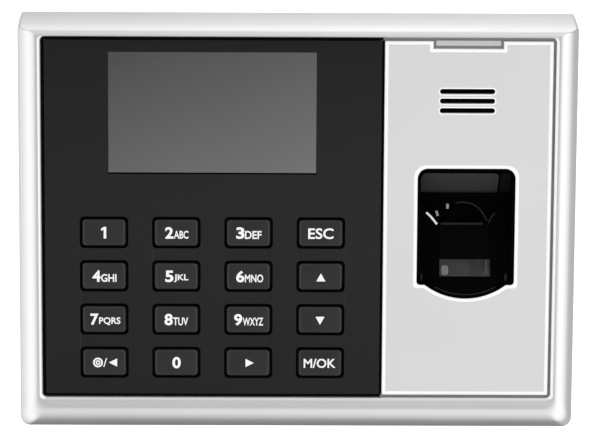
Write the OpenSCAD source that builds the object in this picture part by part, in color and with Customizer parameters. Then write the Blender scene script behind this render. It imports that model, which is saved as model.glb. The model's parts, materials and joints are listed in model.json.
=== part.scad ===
// Wall-mounted fingerprint terminal. Front faces -Y, wall plane is y = 0, +Z is up.
// The origin is the centre of the wall bracket's screw pattern, on the wall plane.

/* [Housing] */
// Overall width of the silver housing
body_w = 185; // [180:0.5:192]
// Depth from the wall to the frame's crest
body_d = 30; // [28:0.5:34]
// Height of the housing's top edge at its rear, above the origin
body_top = 69.8; // [69.4:0.1:71]
// Height of the housing's lowest point, below the origin
body_bottom = -67.8; // [-69:0.1:-67]
// Radius of the frame's left and right edges
side_r = 6.5; // [5:0.1:7]
// Radius of the frame's bottom edge
bottom_r = 8.6; // [8:0.1:9]
// Radius of the frame's top edge
top_r = 1.6; // [1.2:0.1:1.8]
// Slope of the top face, in degrees
top_draft = 5.5; // [5:0.1:6.5]
// Housing wall thickness at the sides
wall_t = 2.8; // [2:0.1:3]

/* [Front panels] */
// Half width of the opening in the frame
open_half_w = 84.7; // [84:0.1:85]
// Top of the opening in the frame
open_top = 65.5; // [65:0.1:65.6]
// Bottom of the opening in the frame
open_bottom = -56.2; // [-56.6:0.1:-56]
// How far the panels sit behind the frame's crest
panel_recess = 1; // [0.6:0.1:1.2]
// Panel thickness
panel_t = 1.6; // [1.2:0.1:1.8]
// Gap between a panel and the frame
panel_gap = 1.1; // [0.6:0.1:1.4]
// Where the black panel meets the silver one
split_x = 27.95; // [27.5:0.05:29]
// Gap between the black panel and the silver one
split_gap = 0.95; // [0.3:0.05:1.2]

/* [Keypad] */
// Distance between key columns
key_pitch_x = 23.95; // [23.5:0.05:24.2]
// Distance between key rows
key_pitch_z = 14.75; // [14.5:0.05:15]
// Centre of the left column
key_x0 = -64.1; // [-64.4:0.1:-63.8]
// Centre of the top row
key_z0 = -0.15; // [-0.5:0.05:0.2]
// Key face width
key_w = 14.3; // [14:0.1:15]
// Key face height
key_h = 8.9; // [8.6:0.1:9.6]
// Key travel
key_travel = 1; // [0.8:0.1:1]
// Gap around each key
key_gap = 0.9; // [0.4:0.05:1]

/* [Display] */
// Display window width
lcd_w = 68.5; // [66:0.1:70]
// Display window height
lcd_h = 40.35; // [38:0.05:41]
// Display window centre, left to right
lcd_x = -28.2; // [-29:0.1:-28]
// Display window centre, up and down
lcd_z = 40.275; // [39.5:0.025:40.5]

/* [Fingerprint well] */
// Well centre, left to right
well_x = 55.85; // [55.5:0.05:56.5]
// Well width at the panel
well_w = 32.4; // [32:0.1:33]
// Top of the well opening
well_top = 21.75; // [21:0.05:22]
// Bottom of the straight sides of the well opening
well_shoulder = -17.65; // [-18:0.05:-17]
// How far the bottom arc bulges below the shoulders
well_sag = 4.65; // [4:0.05:5]
// Width of the bottom arc
well_arc_w = 27; // [26:0.1:28]
// Lean of the sensor face from vertical, in degrees
sensor_tilt = 27.4; // [27:0.1:28]
// Width of the fingerprint window
glass_w = 17; // [15:0.2:19]
// Distance from the sensor's centre line up to the window's top edge
glass_top = 10.1; // [9:0.1:10.4]
// Distance from the sensor's centre line down to the window's bottom edge
glass_bottom = -7.8; // [-10:0.1:-7]

/* [Wall bracket] */
// Screw spacing across the bracket
mount_pitch_x = 80; // [60:1:90]
// Screw spacing up the bracket
mount_pitch_z = 60; // [50:1:64]
// Radius of the wall screw holes
mount_hole_r = 2.2; // [2:0.1:2.6]

/* [Hidden] */
$fn = 64;
eps = 0.01;
crest_y = -body_d;
panel_y = crest_y + panel_recess;
panel_back = panel_y + panel_t;
web_t = 2;
web_back = panel_back + web_t;
shell_back = -4;
cover_t = 2.1;
cover_back = shell_back + cover_t;
half_w = body_w / 2;
cav_half_w = half_w - wall_t;
cav_top = 64.8;
cav_bottom = -64.4;
top_arc_z = open_top + 0.4;

board_y0 = -19;
board_y1 = -17.4;
kb_y0 = -21.4;
kb_y1 = -20.2;
bay_x0 = -58.4;
bay_x1 = 26.4;
bay_z0 = -58.4;
bay_z1 = -34.6;
bay_y0 = -17.5;
bay_wall = 1.6;
sock_z = -34;
sensor_y = -22.45;
sensor_z = -8.5;
hood_low_z = 11;
arch_r = 10.94;
arch_z = 0.06;
arch_floor = 0.9;
arch_back = -15;
speaker_x = 55.75;
speaker_z = 44.4;
slot_pitch = 3.2;
slot_h = 1.75;
slot_half_w = 9.1;
lamp_x = 55.9;
tamper_x = -45;
tamper_z = 18;
lock_y = -8;
screw_r = 1;
screw_len = 3.4;

boss_xz = [[-84.6, 59], [84.6, 59], [-84.6, 1], [84.6, 1], [-84.6, -57.5], [84.6, -57.5]];
main_posts = [[-77.5, 54], [29.5, 54], [-77.5, -25], [29.5, -25]];
kb_posts = [for (i = [0, 2]) for (j = [0, 2])
    [key_x0 + (i + 0.5) * key_pitch_x, key_z0 - (j + 0.5) * key_pitch_z]];
lcd_posts = [[lcd_x - 42, lcd_z], [lcd_x + 42, lcd_z]];
guide_posts = [[well_x - 22.4, 16], [well_x + 22.4, 16], [well_x - 22.4, -16], [well_x + 22.4, -16]];

silver = [0.8, 0.8, 0.82];
black = [0.1, 0.1, 0.11];
pcb = [0.05, 0.35, 0.2];
steel = [0.7, 0.71, 0.73];
gold = [0.85, 0.7, 0.35];

// ---- shared shapes ----

module box(x0, x1, y0, y1, z0, z1) {
    translate([x0, y0, z0]) cube([x1 - x0, y1 - y0, z1 - z0]);
}

module rod_x(y, z, r, x0, x1) {
    translate([x0, y, z]) rotate([0, 90, 0]) cylinder(r = r, h = x1 - x0);
}

module rod_y(x, z, r, y0, y1) {
    translate([x, y0, z]) rotate([-90, 0, 0]) cylinder(r = r, h = y1 - y0);
}

module rod_z(x, y, r, z0, z1) {
    translate([x, y, z0]) cylinder(r = r, h = z1 - z0);
}

// Extrudes an outline drawn in x and z from y0 back to y1
module slab(y0, y1) {
    translate([0, y1, 0]) rotate([90, 0, 0]) linear_extrude(height = y1 - y0) children();
}

// Extrudes an outline drawn in y and z along x
module along_x(x0, x1) {
    translate([x0, 0, 0]) rotate([90, 0, 90]) linear_extrude(height = x1 - x0) children();
}

module rounded(x0, x1, z0, z1, r) {
    translate([x0 + r, z0]) square([x1 - x0 - 2 * r, z1 - z0]);
    translate([x0, z0 + r]) square([x1 - x0, z1 - z0 - 2 * r]);
    for (x = [x0 + r, x1 - r]) {
        for (z = [z0 + r, z1 - r]) {
            translate([x, z]) circle(r = r);
        }
    }
}

module post(x, z, y1, r) {
    rod_y(x, z, r, web_back - 0.2, y1);
}

module screw_hole(x, z, y1) {
    rod_y(x, z, screw_r + 0.05, y1 - screw_len - 0.4, y1 + eps);
}

// ---- front housing ----

// The sides seen from above: a block with round front edges
module side_profile() {
    box(-half_w + side_r, half_w - side_r, crest_y, shell_back, -80, 80);
    box(-half_w, half_w, crest_y + side_r, shell_back, -80, 80);
    for (s = [-1, 1]) {
        rod_z(s * (half_w - side_r), crest_y + side_r, side_r, -80, 80);
    }
}

// The profile seen from the side: sloped top, small top radius, large bottom radius
module height_profile() {
    ay = crest_y + top_r;
    ty = ay - top_r * sin(top_draft);
    tz = top_arc_z + top_r * cos(top_draft);
    by = crest_y + bottom_r;
    bz = body_bottom + bottom_r;
    along_x(-half_w, half_w) polygon([[crest_y, bz], [crest_y, top_arc_z], [ay, top_arc_z], [ty, tz],
        [shell_back, tz + (shell_back - ty) * tan(top_draft)], [shell_back, body_bottom],
        [by, body_bottom], [by, bz]]);
    rod_x(ay, top_arc_z, top_r, -half_w, half_w);
    rod_x(by, bz, bottom_r, -half_w, half_w);
}

// The four-sided flare from the frame's crest in to the panels
module panel_plug() {
    lip = 0.9;
    intersection() {
        translate([0, 0, open_bottom - 2]) linear_extrude(height = open_top - open_bottom + 4)
            polygon([[-open_half_w - lip - eps, crest_y - eps], [open_half_w + lip + eps, crest_y - eps],
                [open_half_w, crest_y + lip], [open_half_w, panel_back],
                [-open_half_w, panel_back], [-open_half_w, crest_y + lip]]);
        along_x(-half_w, half_w) polygon([[crest_y - eps, open_bottom - lip - eps],
            [crest_y - eps, open_top + 0.5], [crest_y + 0.5, open_top], [panel_back, open_top],
            [panel_back, open_bottom], [crest_y + lip, open_bottom]]);
    }
}

module outline_2d() {
    translate([-half_w, body_bottom + 3]) square([body_w, 80 - body_bottom - 3]);
    translate([-half_w + 3, body_bottom]) square([body_w - 6, 10]);
    for (s = [-1, 1]) {
        translate([s * (half_w - 3), body_bottom + 3]) circle(r = 3);
    }
}

module key_spots() {
    for (c = [0 : 3]) {
        for (r = [0 : 3]) {
            translate([key_x0 + c * key_pitch_x, 0, key_z0 - r * key_pitch_z]) children();
        }
    }
}

module key_hole(y0, y1, extra) {
    w = key_w / 2 + key_gap + extra;
    h = key_h / 2 + key_gap + extra;
    slab(y0, y1) rounded(-w, w, -h, h, 1.5);
}

// The well's outline at the panel: round top corners and a bulging bottom edge
module well_outline(inset) {
    hw = well_w / 2 - inset;
    ha = well_arc_w / 2 - inset;
    arc_r = (pow(well_arc_w / 2, 2) + pow(well_sag, 2)) / (2 * well_sag);
    top = well_top - inset;
    low = well_shoulder + inset;
    top_round = 3.4 - inset / 2;
    difference() {
        union() {
            rounded(well_x - hw, well_x + hw, low, top, 1.2);
            intersection() {
                translate([well_x - ha, low - 6]) square([2 * ha, 10]);
                translate([well_x, well_shoulder - well_sag + arc_r]) circle(r = arc_r - inset);
            }
        }
        for (s = [-1, 1]) {
            difference() {
                translate([well_x + s * hw - top_round, top - top_round])
                    square([2 * top_round, 2 * top_round]);
                translate([well_x + s * (hw - top_round), top - top_round]) circle(r = top_round);
                translate([well_x + s * (hw - 2 * top_round) - top_round, top - top_round])
                    square([2 * top_round, 2 * top_round]);
            }
        }
    }
}

module front_bezel() {
    color(silver) difference() {
        union() {
            difference() {
                intersection() {
                    side_profile();
                    height_profile();
                    slab(crest_y, shell_back) outline_2d();
                }
                panel_plug();
                box(-cav_half_w, cav_half_w, web_back, shell_back + 1, cav_bottom, cav_top);
            }
            for (p = boss_xz) post(p[0], p[1], shell_back, 3.4);
            for (p = main_posts) post(p[0], p[1], board_y0, 2.4);
            for (p = kb_posts) post(p[0], p[1], kb_y0, 2.2);
            for (p = lcd_posts) post(p[0], p[1], -21.5, 2.2);
            for (p = guide_posts) post(p[0], p[1], -23.9, 2.2);
            difference() {
                rod_y(speaker_x, speaker_z, 15.4, web_back - 0.2, -23.4);
                rod_y(speaker_x, speaker_z, 14.1, web_back, -23);
            }
        }
        for (p = boss_xz) rod_y(p[0], p[1], 1.25, -14, shell_back + eps);
        for (p = main_posts) screw_hole(p[0], p[1], board_y0 + 1.6);
        for (p = kb_posts) screw_hole(p[0], p[1], kb_y0 + 1.2);
        for (p = lcd_posts) screw_hole(p[0], p[1], -20.9);
        for (p = guide_posts) screw_hole(p[0], p[1], -22.4);
        box(lcd_x - 33.7, lcd_x + 33.7, panel_back - 1, web_back + eps, lcd_z - 19.5, lcd_z + 19.5);
        key_spots() key_hole(panel_back - 1, web_back + eps, 0.15);
        rod_y(speaker_x, speaker_z, 11, panel_back - 1, web_back + eps);
        slab(panel_back - 1, web_back + eps) well_outline(-0.25);
        box(lamp_x - 10.4, lamp_x + 10.4, panel_back - 1, web_back + eps, 62.5, 64.6);
        rod_z(0, lock_y, 1.7, body_bottom - 1, cav_bottom + 1);
        rod_z(0, lock_y, 3, body_bottom - 1, body_bottom + 2);
        box(-9, 9, -13, shell_back + 1, cav_bottom - 0.6, cav_bottom + 1);
    }
}

// ---- front panels ----

module key_panel() {
    g = panel_gap;
    color(black) difference() {
        slab(panel_y, panel_back)
            rounded(-open_half_w + g, split_x - split_gap / 2, open_bottom + g, open_top - g, 0.6);
        box(lcd_x - lcd_w / 2 - 0.1, lcd_x + lcd_w / 2 + 0.25, panel_y - 1, panel_back + 1,
            lcd_z - lcd_h / 2 - 0.5, lcd_z + lcd_h / 2 + 0.1);
        key_spots() key_hole(panel_y - 1, panel_back + 1, 0);
    }
}

module reader_panel() {
    g = panel_gap;
    color(silver) difference() {
        slab(panel_y, panel_back)
            rounded(split_x + split_gap / 2, open_half_w - g + 0.3, open_bottom + g - 0.2, open_top - g, 0.6);
        slab(panel_y - 1, panel_back + 1) well_outline(0);
        for (i = [-1 : 1]) {
            slab(panel_y - 1, panel_back + 1) rounded(speaker_x - slot_half_w, speaker_x + slot_half_w,
                speaker_z + i * slot_pitch - slot_h / 2, speaker_z + i * slot_pitch + slot_h / 2, 0.86);
        }
        box(lamp_x - 11.5, lamp_x + 11.5, panel_y - 1, panel_back + 1, 61.9, 66);
    }
}

module indicator_lens() {
    color([0.9, 0.9, 0.92]) union() {
        box(lamp_x - 10.7, lamp_x + 10.7, panel_y + 0.2, panel_back, 62.8, open_top - 0.9);
        box(lamp_x - 10.1, lamp_x + 10.1, panel_back - 0.5, -20.3, 62.8, 64.3);
    }
}

module indicator_leds() {
    color([0.95, 0.9, 0.6]) {
        for (s = [-1, 1]) box(lamp_x + s * 5 - 1.6, lamp_x + s * 5 + 1.6, board_y0 - 0.8, board_y0, 62.6, 64.1);
    }
}

// ---- display ----

module display_window() {
    color([0.3, 0.3, 0.32]) box(lcd_x - lcd_w / 2, lcd_x + lcd_w / 2, panel_y, panel_back,
        lcd_z - lcd_h / 2, lcd_z + lcd_h / 2);
}

module display_frame() {
    color(steel) difference() {
        union() {
            box(lcd_x - 38, lcd_x + 38, web_back, -20.9, lcd_z - 23.5, lcd_z + 23.5);
            for (s = [-1, 1]) box(lcd_x + s * 42 - 4.1, lcd_x + s * 42 + 4.1, -21.5, -20.9, lcd_z - 3.5, lcd_z + 3.5);
        }
        box(lcd_x - 37.4, lcd_x + 37.4, web_back + 0.6, -20, lcd_z - 22.9, lcd_z + 22.9);
        box(lcd_x - 35, lcd_x + 35, web_back - 1, -20, lcd_z - 20.8, lcd_z + 20.8);
        for (p = lcd_posts) rod_y(p[0], p[1], 1.2, -22, -20);
        box(lcd_x - 12.5, lcd_x + 12.5, -21.6, -20, lcd_z - 24, lcd_z - 22);
    }
}

module display_glass() {
    color([0.5, 0.55, 0.5]) box(lcd_x - 37.3, lcd_x + 37.3, web_back + 0.6, web_back + 2.2,
        lcd_z - 22.8, lcd_z + 22.8);
}

module display_backlight() {
    color([0.92, 0.92, 0.9]) box(lcd_x - 37.3, lcd_x + 37.3, web_back + 2.2, -21.2,
        lcd_z - 22.8, lcd_z + 22.8);
}

// Flat film from the display's lower edge back to a connector on the main board
module display_ribbon() {
    z0 = lcd_z - 24.6;
    color([0.75, 0.45, 0.15]) union() {
        box(lcd_x - 12, lcd_x + 12, -21.2, -21, z0, lcd_z - 15);
        box(lcd_x - 12, lcd_x + 12, -21.2, -19.4, z0 - 0.2, z0);
        box(lcd_x - 12, lcd_x + 12, -19.6, -19.4, z0 - 4, z0);
        box(lcd_x - 13.5, lcd_x + 13.5, -19.9, board_y0, z0 - 6.4, z0 - 2.2);
    }
}

// ---- keypad ----

module keypad_board() {
    color(pcb) difference() {
        box(-74, 20, kb_y0, kb_y1, -53, 8);
        for (p = kb_posts) rod_y(p[0], p[1], 1.2, kb_y0 - 1, kb_y1 + 1);
    }
}

module keypad_switches() {
    color(steel) key_spots() {
        box(-3.1, 3.1, kb_y0 - 0.7, kb_y0, -3.1, 3.1);
        rod_y(0, 0, 1.7, kb_y0 - 1.1, kb_y0 - 0.7);
    }
}

module keypad_connector() {
    color(black) box(-66, -46, kb_y1, board_y0, -24.5, -20.5);
}

// Key face, flange that stops it behind the frame's web, and a stem over its switch
module key(col, row) {
    face_y = panel_y - 0.5;
    flange_y = web_back + 0.3;
    color(black) translate([key_x0 + col * key_pitch_x, 0, key_z0 - row * key_pitch_z]) union() {
        slab(face_y, face_y + 0.4) rounded(-key_w / 2 + 0.3, key_w / 2 - 0.3, -key_h / 2 + 0.3, key_h / 2 - 0.3, 1);
        slab(face_y + 0.3, flange_y + 0.5) rounded(-key_w / 2, key_w / 2, -key_h / 2, key_h / 2, 1.2);
        slab(flange_y, flange_y + 1) rounded(-8.7, 8.7, -6, 6, 0.8);
        box(-2, 2, flange_y + 0.5, kb_y0 - 1.4 - key_travel, -2, 2);
    }
}

// ---- speaker ----

module speaker_frame() {
    color(steel) difference() {
        union() {
            rod_y(speaker_x, speaker_z, 14, web_back, web_back + 1.2);
            translate([speaker_x, web_back + 1, speaker_z]) rotate([-90, 0, 0]) cylinder(r1 = 12.8, r2 = 9.4, h = 3.5);
        }
        translate([speaker_x, web_back + 0.4, speaker_z]) rotate([-90, 0, 0]) cylinder(r1 = 12, r2 = 8.4, h = 3.5);
        rod_y(speaker_x, speaker_z, 12, web_back - 1, web_back + 0.5);
        rod_y(speaker_x, speaker_z, 6.55, web_back, web_back + 6);
    }
}

module speaker_cone() {
    color([0.2, 0.2, 0.2]) difference() {
        union() {
            rod_y(speaker_x, speaker_z, 11.98, web_back + 0.1, web_back + 0.4);
            translate([speaker_x, web_back + 0.4, speaker_z]) rotate([-90, 0, 0]) cylinder(r1 = 10.6, r2 = 4.2, h = 2.4);
        }
        translate([speaker_x, web_back + 0.09, speaker_z]) rotate([-90, 0, 0]) cylinder(r1 = 10.6, r2 = 4.2, h = 2.4);
    }
}

module speaker_magnet() {
    color([0.3, 0.3, 0.32]) union() {
        rod_y(speaker_x, speaker_z, 6.5, web_back + 3.6, -18.4);
        rod_y(speaker_x, speaker_z, 7.6, web_back + 4.5, -18.4);
    }
}

// Flat two-core lead from the speaker's back, past the main board's edge, to its plug
module speaker_wires() {
    z0 = speaker_z - 1.2;
    z1 = speaker_z + 1.2;
    ring_y = web_back + 4.5;
    color([0.7, 0.1, 0.1]) {
        box(36, speaker_x - 7.9, ring_y, ring_y + 0.8, z0, z1);
        box(36, 36.8, ring_y, board_y1 + 1.4, z0, z1);
        box(29, 36.8, board_y1 + 0.6, board_y1 + 1.4, z0, z1);
        box(25, 29.2, board_y1, board_y1 + 2, z0 - 1.8, z1 + 1.8);
    }
}

// ---- fingerprint reader ----

// The well's inside, front to back: sensor face, fingertip wall, and hood
module well_space() {
    face_top_y = sensor_y + 13 * sin(sensor_tilt);
    face_top_z = sensor_z + 13 * cos(sensor_tilt);
    face_low_y = sensor_y - 13 * sin(sensor_tilt);
    face_low_z = sensor_z - 13 * cos(sensor_tilt);
    intersection() {
        slab(-31, -10) well_outline(1.1);
        along_x(well_x - 20, well_x + 20) polygon([[-31, -24], [-28.6, -24], [face_low_y, face_low_z],
            [face_top_y, face_top_z], [face_top_y, hood_low_z], [-27.8, 20.7], [-31, 20.7]]);
    }
    intersection() {
        translate([well_x, -24, arch_z]) sphere(r = arch_r);
        box(well_x - 10, well_x + 10, -32, arch_back, arch_floor, 12);
    }
}

module in_sensor_frame() {
    translate([well_x, sensor_y, sensor_z]) rotate([-sensor_tilt, 0, 0]) children();
}

module glass_block(y0, y1, extra) {
    box(-glass_w / 2 - extra, glass_w / 2 + extra, y0, y1, glass_bottom - extra, glass_top + extra);
}

module finger_guide() {
    color(black) difference() {
        union() {
            slab(panel_y + 0.1, web_back + 1) well_outline(0.1);
            slab(web_back, web_back + 1.5) rounded(well_x - 19.5, well_x + 19.5, -25, 25, 2);
            for (p = guide_posts) box(p[0] - 3.2, p[0] + 3.2, -23.9, -22.4, p[1] - 3.2, p[1] + 3.2);
            for (s = [-1, 1]) box(well_x + s * 19 - 1, well_x + s * 19 + 1, web_back, -22.4, -19, 19);
            intersection() {
                slab(web_back + 1, -12) rounded(well_x - 17, well_x + 17, -23.4, 23, 2);
                in_sensor_frame() box(-17, 17, -30, 3, -30, 40);
            }
        }
        well_space();
        in_sensor_frame() glass_block(-1, 6, 0.1);
        in_sensor_frame() box(-12.8, 12.8, 3, 20, -12.4, 11.4);
        for (p = guide_posts) rod_y(p[0], p[1], 1.2, -25, -20);
    }
}

module sensor_prism() {
    color([0.75, 0.85, 0.9]) in_sensor_frame() union() {
        glass_block(0.1, 3, 0);
        translate([-glass_w / 2, 0, 0]) rotate([90, 0, 90]) linear_extrude(height = glass_w)
            polygon([[2.9, glass_bottom], [2.9, glass_top], [7.2, 4], [7.2, -2]]);
    }
}

module sensor_housing() {
    color(black) in_sensor_frame() difference() {
        box(-12.5, 12.5, 3, 11, -12, 11);
        box(-11.2, 11.2, 4.4, 12, -10.7, 9.7);
        glass_block(2, 5, 0.1);
    }
}

module sensor_board() {
    color(pcb) in_sensor_frame() box(-12.5, 12.5, 11, 12.2, -12, 11);
}

module sensor_lens() {
    color([0.2, 0.2, 0.25]) in_sensor_frame() union() {
        box(-4, 4, 9.4, 11, -4, 4);
        translate([0, 7.6, 0]) rotate([-90, 0, 0]) cylinder(r = 2.6, h = 2);
    }
}

// Flat ribbon from the sensor board's plug to the edge of the main board
module sensor_cable() {
    color([0.85, 0.85, 0.82]) {
        in_sensor_frame() {
            box(-11.5, -8.5, 12.2, 13.8, -4.5, 3.5);
            box(-20.45, -11.4, 12.9, 13.3, -4, 3);
            box(-20.45, -20.05, 6.6, 13.3, -4, 3);
        }
        box(27.5, 35.8, board_y1, board_y1 + 2.4, -16.5, -7.5);
    }
}

// ---- electronics ----

module main_board() {
    color(pcb) difference() {
        union() {
            box(-81, 34, board_y0, board_y1, -31, 60);
            box(33, 69, board_y0, board_y1, 59.4, 64.3);
            box(20, 34, board_y0, board_y1, 59, 64.3);
        }
        for (p = main_posts) rod_y(p[0], p[1], 1.2, board_y0 - 1, board_y1 + 1);
    }
}

module board_chips() {
    color(black) {
        box(-34, -18, board_y1, board_y1 + 1.3, 2, 18);
        box(-12, -1, board_y1, board_y1 + 1.1, 4, 16);
        box(-12, -1, board_y1, board_y1 + 1.1, 20, 32);
        box(-48, -39, board_y1, board_y1 + 1.4, -10, -3);
        box(-28, -22, board_y1, board_y1 + 1.5, -14, -9);
    }
}

module board_capacitors() {
    color([0.15, 0.2, 0.45]) {
        for (i = [0 : 2]) rod_y(-8 + i * 10.5, 42, 4, board_y1, board_y1 + 10);
        rod_y(-8, -8, 3.2, board_y1, board_y1 + 8);
    }
}

module cell_holder() {
    color(black) difference() {
        union() {
            rod_y(-60, 40, 11.6, board_y1, board_y1 + 4.6);
            box(-74, -70, board_y1, board_y1 + 3, 37, 43);
        }
        rod_y(-60, 40, 10.1, board_y1 + 1.2, board_y1 + 6);
        box(-63, -57, board_y1 + 1.2, board_y1 + 6, 26, 34);
    }
}

module coin_cell() {
    color(steel) union() {
        rod_y(-60, 40, 10, board_y1 + 1.2, board_y1 + 4);
        rod_y(-60, 40, 8.8, board_y1 + 3.5, board_y1 + 4.4);
    }
}

module network_jack() {
    color(steel) difference() {
        box(-50, -34, board_y1, -4.5, sock_z, -14);
        box(-47.9, -36.1, -15.4, -7.2, sock_z - 1, -20);
        box(-44.2, -39.8, -8, -5.8, sock_z - 1, -21);
    }
}

module usb_port() {
    color(steel) difference() {
        box(-29.2, -16, board_y1, board_y1 + 5.9, sock_z, -20);
        box(-28.8, -16.4, board_y1 + 0.4, board_y1 + 5.5, sock_z - 1, -20.8);
    }
}

module usb_tongue() {
    color([0.9, 0.9, 0.9]) box(-28.3, -16.9, board_y1 + 3.2, board_y1 + 5, -32.8, -20.8);
}

module power_jack() {
    color(black) difference() {
        box(-10, -1, board_y1, board_y1 + 11, sock_z, -20);
        rod_z(-5.5, board_y1 + 6, 3.2, sock_z - 1, -22.5);
    }
}

module connector_contacts() {
    color(gold) {
        for (i = [0 : 7]) {
            cx = -42 + (i - 3.5) * 1.02;
            box(cx - 0.2, cx + 0.2, -15.4, -14.9, -30.5, -20.2);
        }
        for (i = [0 : 3]) {
            cx = -22.6 + (i - 1.5) * 2.4;
            box(cx - 0.5, cx + 0.5, board_y1 + 3, board_y1 + 3.2, -32, -22);
        }
        rod_z(-5.5, board_y1 + 6, 1, -32.5, -22.5);
    }
}

module terminal_block() {
    color([0.1, 0.45, 0.25]) difference() {
        box(2.4, 25.6, board_y1, board_y1 + 10, sock_z, -24);
        for (i = [0 : 5]) {
            cx = 14 + (i - 2.5) * 3.75;
            box(cx - 1.3, cx + 1.3, board_y1 + 1, board_y1 + 4, sock_z - 1, -27);
            rod_z(cx, board_y1 + 7.2, 1.45, sock_z - 1, -28);
        }
    }
}

module terminal_screws() {
    color(steel) {
        for (i = [0 : 5]) {
            cx = 14 + (i - 2.5) * 3.75;
            difference() {
                rod_z(cx, board_y1 + 7.2, 1.4, sock_z + 0.8, -28);
                box(cx - 0.25, cx + 0.25, board_y1 + 5, board_y1 + 9.4, sock_z, sock_z + 1.6);
            }
        }
    }
}

module relay() {
    color([0.15, 0.3, 0.6]) box(6, 25, board_y1, board_y1 + 11.5, -12, 3);
}

module board_switches() {
    color(black) {
        box(tamper_x - 3.5, tamper_x + 3.5, board_y1, -12, tamper_z - 3.5, tamper_z + 3.5);
        box(-56.5, -52, board_y1, board_y1 + 4.6, -31, -26);
    }
}

module tamper_plunger() {
    color([0.85, 0.85, 0.85]) union() {
        rod_y(tamper_x, tamper_z, 1.5, -10.2, -1.8);
        rod_y(tamper_x, tamper_z, 3, -5.3, -4.3);
    }
}

module reset_button() {
    color([0.8, 0.2, 0.1]) union() {
        rod_z(-54.3, board_y1 + 3, 1.4, -35.4, -31.8);
        rod_z(-54.3, board_y1 + 3, 2.2, -32.7, -31.8);
    }
}

// ---- rear ----

module rear_cover() {
    ins = 0.3;
    color(black) difference() {
        union() {
            slab(shell_back, cover_back) rounded(-half_w + 0.6, half_w - 0.6, body_bottom + 0.6, body_top - 0.8, 2.4);
            difference() {
                slab(shell_back - 3, shell_back + 0.5) rounded(-cav_half_w + ins, cav_half_w - ins,
                    cav_bottom + ins, cav_top - ins, 1);
                slab(shell_back - 4, shell_back) rounded(-cav_half_w + 1.9, cav_half_w - 1.9,
                    cav_bottom + 1.9, cav_top - 1.9, 1);
            }
            difference() {
                slab(cover_back - 0.5, -0.5) rounded(-half_w + 0.6, half_w - 0.6, body_bottom + 0.6, body_top - 0.8, 2.4);
                slab(cover_back - 1, 0) rounded(-half_w + 2.6, half_w - 2.6, body_bottom + 2.6, body_top - 2.8, 2);
            }
            box(bay_x0 - bay_wall, bay_x1 + bay_wall, bay_y0 - bay_wall, cover_back, bay_z0 - bay_wall, bay_z1 + bay_wall);
        }
        box(bay_x0, bay_x1, bay_y0, 1, bay_z0, bay_z1);
        box(-50.3, -33.7, board_y1 - 0.1, -4.2, bay_z1 - 1, bay_z1 + 3);
        box(-29.5, -15.7, board_y1 - 0.1, board_y1 + 6.2, bay_z1 - 1, bay_z1 + 3);
        box(-10.3, -0.7, board_y1 - 0.1, board_y1 + 11.3, bay_z1 - 1, bay_z1 + 3);
        box(2.1, 25.9, board_y1 - 0.1, board_y1 + 10.3, bay_z1 - 1, bay_z1 + 3);
        rod_z(-54.3, board_y1 + 3, 1.8, bay_z1 - 1, bay_z1 + 3);
        for (p = boss_xz) {
            rod_y(p[0], p[1], 1.5, shell_back - 1, cover_back + 1);
            rod_y(p[0], p[1], 3.8, shell_back - 4, shell_back);
        }
        rod_y(tamper_x, tamper_z, 2, shell_back - 1, cover_back + 1);
        for (s = [-1, 1]) box(s * 35 - 7, s * 35 + 7, shell_back - 1, cover_back + 1, 33.5, 40);
        box(-9.5, 9.5, shell_back - 4, 1, -64.9, -60.6);
        for (i = [0 : 4]) {
            slab(shell_back - 1, cover_back + 1) rounded(46, 68, 40 + i * 4, 41.6 + i * 4, 0.79);
        }
    }
}

module wall_bracket() {
    color(steel) difference() {
        union() {
            slab(-1.5, 0) rounded(-60, 60, -63, 45, 4);
            for (s = [-1, 1]) {
                box(s * 35 - 6, s * 35 + 6, -5.7, -1, 38.2, 39.7);
                box(s * 35 - 6, s * 35 + 6, -5.7, -4.4, 38.2, 42.5);
            }
            box(-8, 8, -12, 0, -63, -61.5);
        }
        for (x = [-1, 1]) {
            for (z = [-1, 1]) rod_y(x * mount_pitch_x / 2, z * mount_pitch_z / 2, mount_hole_r, -3, 1);
        }
        slab(-3, 1) rounded(-40, 24, -56, -37, 3);
        rod_z(0, lock_y, 1.56, -65, -60);
    }
}

module housing_screws() {
    color(steel) {
        for (p = boss_xz) {
            difference() {
                union() {
                    rod_y(p[0], p[1], 1.2, -12.5, cover_back + 0.5);
                    rod_y(p[0], p[1], 2.6, cover_back, cover_back + 1.6);
                }
                box(p[0] - 0.3, p[0] + 0.3, cover_back + 0.7, cover_back + 2, p[1] - 1.7, p[1] + 1.7);
                box(p[0] - 1.7, p[0] + 1.7, cover_back + 0.7, cover_back + 2, p[1] - 0.3, p[1] + 0.3);
            }
        }
    }
}

// One small screw whose head rests on the surface at y1
module board_screw(x, z, y1) {
    difference() {
        union() {
            rod_y(x, z, screw_r, y1 - screw_len, y1 + 0.4);
            rod_y(x, z, 2, y1, y1 + 0.8);
        }
        box(x - 1.3, x + 1.3, y1 + 0.4, y1 + 1, z - 0.25, z + 0.25);
        box(x - 0.25, x + 0.25, y1 + 0.4, y1 + 1, z - 1.3, z + 1.3);
    }
}

module board_screws() {
    color(steel) {
        for (p = main_posts) board_screw(p[0], p[1], board_y1);
        for (p = kb_posts) board_screw(p[0], p[1], kb_y1);
        for (p = lcd_posts) board_screw(p[0], p[1], -20.9);
        for (p = guide_posts) board_screw(p[0], p[1], -22.4);
    }
}

module security_screw() {
    color(steel) difference() {
        union() {
            rod_z(0, lock_y, 1.5, body_bottom + 1, -60.2);
            rod_z(0, lock_y, 2.8, body_bottom + 0.3, body_bottom + 2);
        }
        rod_z(0, lock_y, 1.2, body_bottom - 1, body_bottom + 1.2);
    }
}

// ---- assembly ----

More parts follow.
